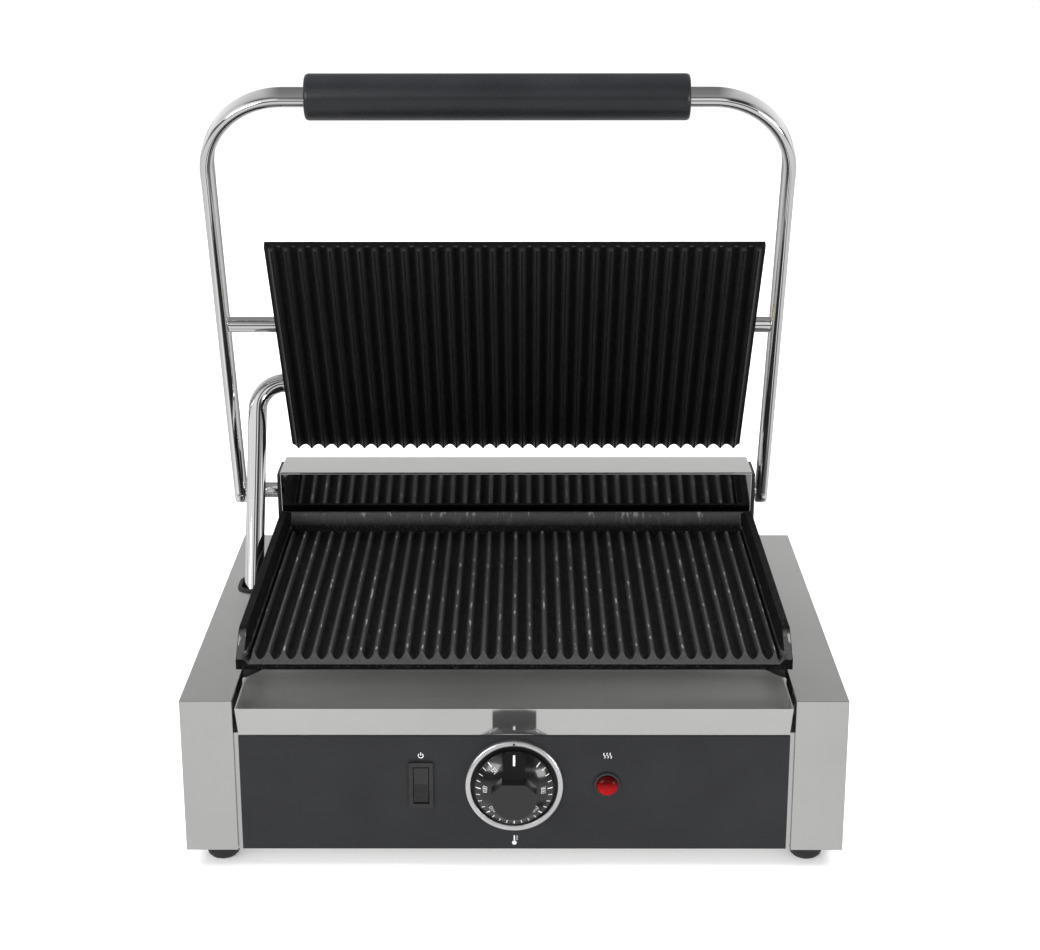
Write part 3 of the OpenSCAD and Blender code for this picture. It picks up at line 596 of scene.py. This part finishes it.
def knob():
    """Sloping skirt with the scale, and a hub with a flattened top over the pointer bar."""
    skirt = lathe([(0.01, 0.4), (25.6, 0.4), (25.6, 4.2), (25.2, 4.8), (14, 11), (0.01, 11)], DIAL, 120)
    hub_outline = arc((0, 0), 14.5, 180, 360, 40) + [(14.5, 4), (7.8, 10.5), (-7.8, 10.5), (-14.5, 4)]
    hub_low = [DIAL @ Vector((x, z, 8)) for x, z in hub_outline]
    hub_edge = [DIAL @ Vector((x, z, 21.8)) for x, z in hub_outline]
    hub_face = [DIAL @ Vector((x * 0.985, z * 0.985, 22)) for x, z in hub_outline]
    hub = loft([hub_low, hub_edge, hub_face])
    bar = loft([
        [DIAL @ Vector((s * 6.6, 10, h)) for s, h in ((-1, 5), (1, 5), (1, 13.6), (-1, 13.6))],
        [DIAL @ Vector((s * 8, 24.8, h)) for s, h in ((-1, 2), (1, 2), (1, 5.7), (-1, 5.7))],
    ])
    verts, faces = together(skirt, hub, bar)
    piece("knob", verts, faces, KNOB, "dial", ["dial_knob"], sharp=30)

    def bar_height(x, z):
        return 13.6 - (z - 10) * 7.9 / 14.8

    def skirt_height(x, z):
        return 4.8 + (25.2 - math.hypot(x, z)) * 6.2 / 11.2

    marks = [stroke([(0, 18), (0, 24)], 1.5, bar_height, DIAL)]
    for k in range(25):
        a = math.radians(SCALE_START + SCALE_STEP * k)
        inner = 21.6 if k % 4 == 0 else 22.4
        marks.append(stroke([(r * math.cos(a), r * math.sin(a)) for r in (inner, 25)],
                            0.7 if k % 4 == 0 else 0.5, skirt_height, DIAL))
    for k, number in enumerate(("50", "100", "150", "200", "250", "300")):
        a = math.radians(SCALE_START + 4 * SCALE_STEP * k)
        centre = Vector((math.cos(a), math.sin(a))) * 18.9
        marks += digits(number, centre, a - math.pi / 2, 2.6, skirt_height, DIAL)
    verts, faces = together(*marks)
    piece("knob_scale", verts, faces, PRINT, "dial")


DIGITS = {
    "0": [[(0, 0), (1, 0), (1, 2), (0, 2), (0, 0)]],
    "1": [[(0.6, 0), (0.6, 2), (0.2, 1.6)]],
    "2": [[(0, 2), (1, 2), (1, 1), (0, 1), (0, 0), (1, 0)]],
    "3": [[(0, 2), (1, 2), (1, 0), (0, 0)], [(0.2, 1), (1, 1)]],
    "5": [[(1, 2), (0, 2), (0, 1), (1, 1), (1, 0), (0, 0)]],
}


def digits(number, centre, turn, height, lift, place):
    """Strokes of a number whose middle is at centre."""
    size = height / 2
    out = []
    for k, digit in enumerate(number):
        for line in DIGITS[digit]:
            points = []
            for x, y in line:
                px = (x + 1.5 * k - (1.5 * len(number) - 0.5) / 2) * size * 0.9
                py = (y - 1) * size
                points.append((centre.x + px * math.cos(turn) - py * math.sin(turn),
                               centre.y + px * math.sin(turn) + py * math.cos(turn)))
            out.append(stroke(points, 0.32, lift, place))
    return out


def stroke(points, width, lift, place):
    """A thin printed line through (x, z) points; lift gives the height of the surface under it."""
    rings = []
    for i, (x, z) in enumerate(points):
        a = Vector(points[max(i - 1, 0)])
        b = Vector(points[min(i + 1, len(points) - 1)])
        along = (b - a).normalized() if (b - a).length > 1e-6 else Vector((1, 0))
        side = Vector((-along.y, along.x)) * width / 2
        ring = []
        for sx, rise in ((1, -0.1), (-1, -0.1), (-1, 0.06), (1, 0.06)):
            px, pz = x + side.x * sx, z + side.y * sx
            ring.append(place @ Vector((px, pz, lift(px, pz) + rise)))
        rings.append(ring)
    return loft(rings)


def dial_ring():
    """Chromed ring round the dial, with a small index stud at its top."""
    r = 31.8
    profile = [(r - 3.9, -1), (r - 3.9, 1.7), (r - 3.5, 2.3), (r - 2.9, 2.55), (r - 1, 2.55), (r - 0.4, 2.3),
               (r, 1.7), (r, -1)]
    rings = [[DIAL @ Vector((a * math.cos(t), a * math.sin(t), h)) for a, h in profile]
             for t in (2 * math.pi * k / 144 for k in range(144))]
    verts, faces = loft(rings, closed=True)
    piece("dial_bezel", verts, faces, BEZEL, "base", ["dial_ring"])
    verts, faces = lathe([(0.01, 2), (0.8, 2), (0.8, 2.6), (0.01, 2.6)],
                         DIAL @ Matrix.Translation((0, r - 2, 0)), 20)
    piece("dial_index", verts, faces, PLASTIC, "base")


def lamp():
    """Faceted red jewel in a black ring."""
    place = DIAL @ Matrix.Translation((CONTROL_GAP, 0, 0))
    profile = [(0.01, -0.9), (7, -0.9), (7, 0.8), (6.4, 2.2), (5, 3.2), (3, 3.9), (0.01, 4.2)]
    verts, faces = lathe(profile, place, 40)
    piece("lamp_jewel", verts, faces, LAMP, "base", ["lamp_lens"], sharp=60)


def panel_symbols():
    """Small printed signs: mains power over the switch, heat over the lamp, thermometer under the dial."""
    def flat(x, z):
        return -PANEL_Y
    marks = [
        stroke([(-CONTROL_GAP + 1.6 * math.cos(a), 20.4 + 1.6 * math.sin(a))
                for a in (math.radians(125 + 290 * k / 20) for k in range(21))], 0.5, flat, DIAL),
        stroke([(-CONTROL_GAP, 20.6), (-CONTROL_GAP, 22.8)], 0.5, flat, DIAL),
    ]
    for dx in (-2, 0, 2):
        marks.append(stroke([(CONTROL_GAP + dx + 0.6 * math.sin(k * 0.7), 18.6 + 0.42 * k)
                             for k in range(10)], 0.5, flat, DIAL))
    bulb = [(1.5 * math.cos(a), -42 + 1.5 * math.sin(a)) for a in (2 * math.pi * k / 24 for k in range(24))]
    marks.append(prism(bulb, -PANEL_Y - 0.1, -PANEL_Y + 0.06, DIAL))
    marks.append(stroke([(0, -41.2), (0, -36.6)], 0.9, flat, DIAL))
    for k in range(3):
        marks.append(stroke([(1.2, -37.2 - 1.2 * k), (2.3, -37.2 - 1.2 * k)], 0.35, flat, DIAL))
    verts, faces = together(*marks)
    piece("panel_signs", verts, faces, PRINT, "base")


# ---------- softer edges on the CAD sheet parts ----------

def soften(node, width, segments=2, angle=40):
    """Rounds a CAD node's sharp edges."""
    obj = frame["nodes"][node]
    weld = obj.modifiers.new("weld", "WELD")
    weld.merge_threshold = 0.01 * MM
    flat = obj.modifiers.new("flat", "DECIMATE")
    flat.decimate_type = "DISSOLVE"
    flat.angle_limit = math.radians(1)
    bevel = obj.modifiers.new("bevel", "BEVEL")
    bevel.width = width * MM
    bevel.segments = segments
    bevel.limit_method = "ANGLE"
    bevel.angle_limit = math.radians(angle)
    bevel.harden_normals = True


# ---------- stage, light and camera ----------

FLOOR_RADIUS = 2.4              # metres
SURROUND_RADIUS = 8.8


def world():
    """Studio surroundings, seen only in reflections.

    Behind, they are white just over the horizon and dark under it and higher up. In front, low down, a
    bright strip stands over a dark one, and higher up there are upright banks of light with gaps. They
    are light at the sides.
    """
    w = bpy.data.worlds.new("studio")
    bpy.context.scene.world = w
    w.use_nodes = True
    tree = w.node_tree
    back = tree.nodes["Background"]

    def add(kind, **settings):
        node = tree.nodes.new(kind)
        for key, value in settings.items():
            setattr(node, key, value)
        return node

    def ramp(source, stops):
        """Grey levels along a value that runs from -1 to 1."""
        span = add("ShaderNodeMapRange")
        span.inputs["From Min"].default_value = -1
        span.inputs["From Max"].default_value = 1
        tree.links.new(source, span.inputs["Value"])
        node = add("ShaderNodeValToRGB")
        elements = node.color_ramp.elements
        while len(elements) < len(stops):
            elements.new(0.5)
        for element, (at, value) in zip(elements, stops):
            element.position = (at + 1) / 2
            element.color = (value, value, value, 1)
        tree.links.new(span.outputs["Result"], node.inputs["Fac"])
        return node.outputs["Color"]

    def blend(share, a, b):
        node = add("ShaderNodeMix", data_type="RGBA")
        tree.links.new(share, node.inputs["Factor"])
        tree.links.new(a, node.inputs["A"])
        tree.links.new(b, node.inputs["B"])
        return node.outputs["Result"]

    place = add("ShaderNodeTexCoord")
    split = add("ShaderNodeSeparateXYZ")
    tree.links.new(place.outputs["Generated"], split.inputs["Vector"])
    height, depth, side = split.outputs["Z"], split.outputs["Y"], split.outputs["X"]
    behind = ramp(height, [
        (-1, 0.6), (-0.55, 0.6), (-0.42, 0.2), (-0.31, 0.15), (-0.23, 0.34), (-0.06, 0.3), (0.03, 0.95),
        (0.26, 0.78), (0.34, 0.5), (0.43, 0.22), (0.6, 0.18), (1, 0.3)
    ])
    low_front = ramp(height, [
        (-1, 0.74), (-0.6, 0.7), (-0.3, 0.76), (-0.2, 0.6), (-0.1, 0.14), (0.14, 0.1), (0.22, 1.0),
        (0.32, 1.0), (0.4, 0.08), (0.8, 0.05), (0.92, 0.24), (1, 0.28)
    ])
    banks = ramp(side, [
        (-1, 0.3), (-0.86, 0.9), (-0.45, 0.95), (-0.2, 0.9), (-0.08, 0.04), (0.04, 0.03), (0.1, 0.9),
        (0.24, 0.85), (0.32, 0.03), (0.6, 0.05), (0.75, 0.5), (0.9, 0.1)
    ])
    high = ramp(height, [
        (-0.94, 0), (-0.89, 0.85), (-0.74, 0.85), (-0.68, 0), (0.25, 0), (0.36, 0.9), (0.66, 0.9), (0.78, 0)
    ])
    beside = ramp(height, [(-1, 0.7), (-0.1, 0.62), (0.03, 0.95), (0.26, 0.85), (0.6, 0.6), (1, 0.4)])
    aside = ramp(side, [(-0.3, 1), (-0.14, 0), (0.14, 0), (0.3, 1)])
    rear = ramp(depth, [(-0.2, 0), (0.2, 1)])
    front = blend(high, low_front, banks)
    tree.links.new(blend(rear, front, blend(aside, behind, beside)), back.inputs["Color"])


def area_light(name, place, aim, size, power, glossy=True):
    data = bpy.data.lights.new(name, "AREA")
    data.shape = "RECTANGLE"
    data.size, data.size_y = size
    data.energy = power
    light = bpy.data.objects.new(name, data)
    light.location = place
    light.rotation_euler = (Vector(aim) - Vector(place)).to_track_quat("-Z", "Y").to_euler()
    bpy.context.scene.collection.objects.link(light)
    light.visible_glossy = glossy


def backdrop(name, verts, faces, colour, roughness, glow):
    """A glowing white mesh that polished parts don't mirror."""
    mesh = bpy.data.meshes.new(name)
    mesh.from_pydata([tuple(v) for v in verts], [], faces)
    obj = bpy.data.objects.new(name, mesh)
    bpy.context.scene.collection.objects.link(obj)
    mesh.materials.append(Finish(name + "_white", colour, roughness, Emission_Color=(1, 1, 1, 1),
                                 Emission_Strength=glow, Specular_IOR_Level=0.0).mat)
    obj.visible_glossy = False
    return obj


def stage():
    """A round white floor in white surroundings, under one broad light."""
    rim = []
    for k in range(96):
        a = 2 * math.pi * k / 96
        rim.append((FLOOR_RADIUS * math.cos(a), 0.3 + FLOOR_RADIUS * math.sin(a), 0))
    floor = backdrop("floor", rim, [tuple(range(96))], (0.9, 0.9, 0.9), 0.9, 0.27)
    profile = [(0.01, -0.02), (SURROUND_RADIUS, -0.02), (SURROUND_RADIUS, 9)]
    verts, faces = lathe(profile, Matrix.Identity(4), 64)
    surround = backdrop("surround", verts, faces[:-1], (0, 0, 0), 1, 1.1)
    surround.visible_diffuse = False
    surround.visible_shadow = False
    world()
    area_light("overhead", (0, 0.4, 3.0), (0, 0.4, 0), (5, 5), 240, glossy=False)
    area_light("front_fill", (-0.9, -2.2, 1.5), (0, 0, 0.2), (1.6, 1.2), 16, glossy=False)
    area_light("patch_left", (-1.65, -1.92, 0.93), (0, -0.18, 0.06), (1.3, 0.75), 17)
    area_light("patch_right", (2.05, -1.7, 0.36), (0, -0.18, 0.06), (1.1, 0.7), 15)


def camera():
    """The photographer's view: a long lens, a little above and in front."""
    data = bpy.data.cameras.new("camera")
    data.lens = 70.84
    data.sensor_width = 36
    cam = bpy.data.objects.new("camera", data)
    cam.location = (9.4 * MM, -1364.4 * MM, 651.9 * MM)
    cam.rotation_euler = (math.radians(90 - 17.48), math.radians(0.06), math.radians(0.17))
    bpy.context.scene.collection.objects.link(cam)
    bpy.context.scene.camera = cam
    bpy.context.scene.view_settings.view_transform = "Standard"


# ---------- assembly ----------

dress_cad_nodes()
lower_plate()
upper_plate()
handle_frame()
grip()
conduit()
grommet()
knob()
dial_ring()
lamp()
panel_symbols()
soften("hinge_box", 1.2, 3)
soften("left_side_box", 0.5)
soften("right_side_box", 0.5)
soften("upper_housing", 0.8)
soften("switch_housing", 0.4)
soften("switch_rocker", 0.5)
stage()
camera()
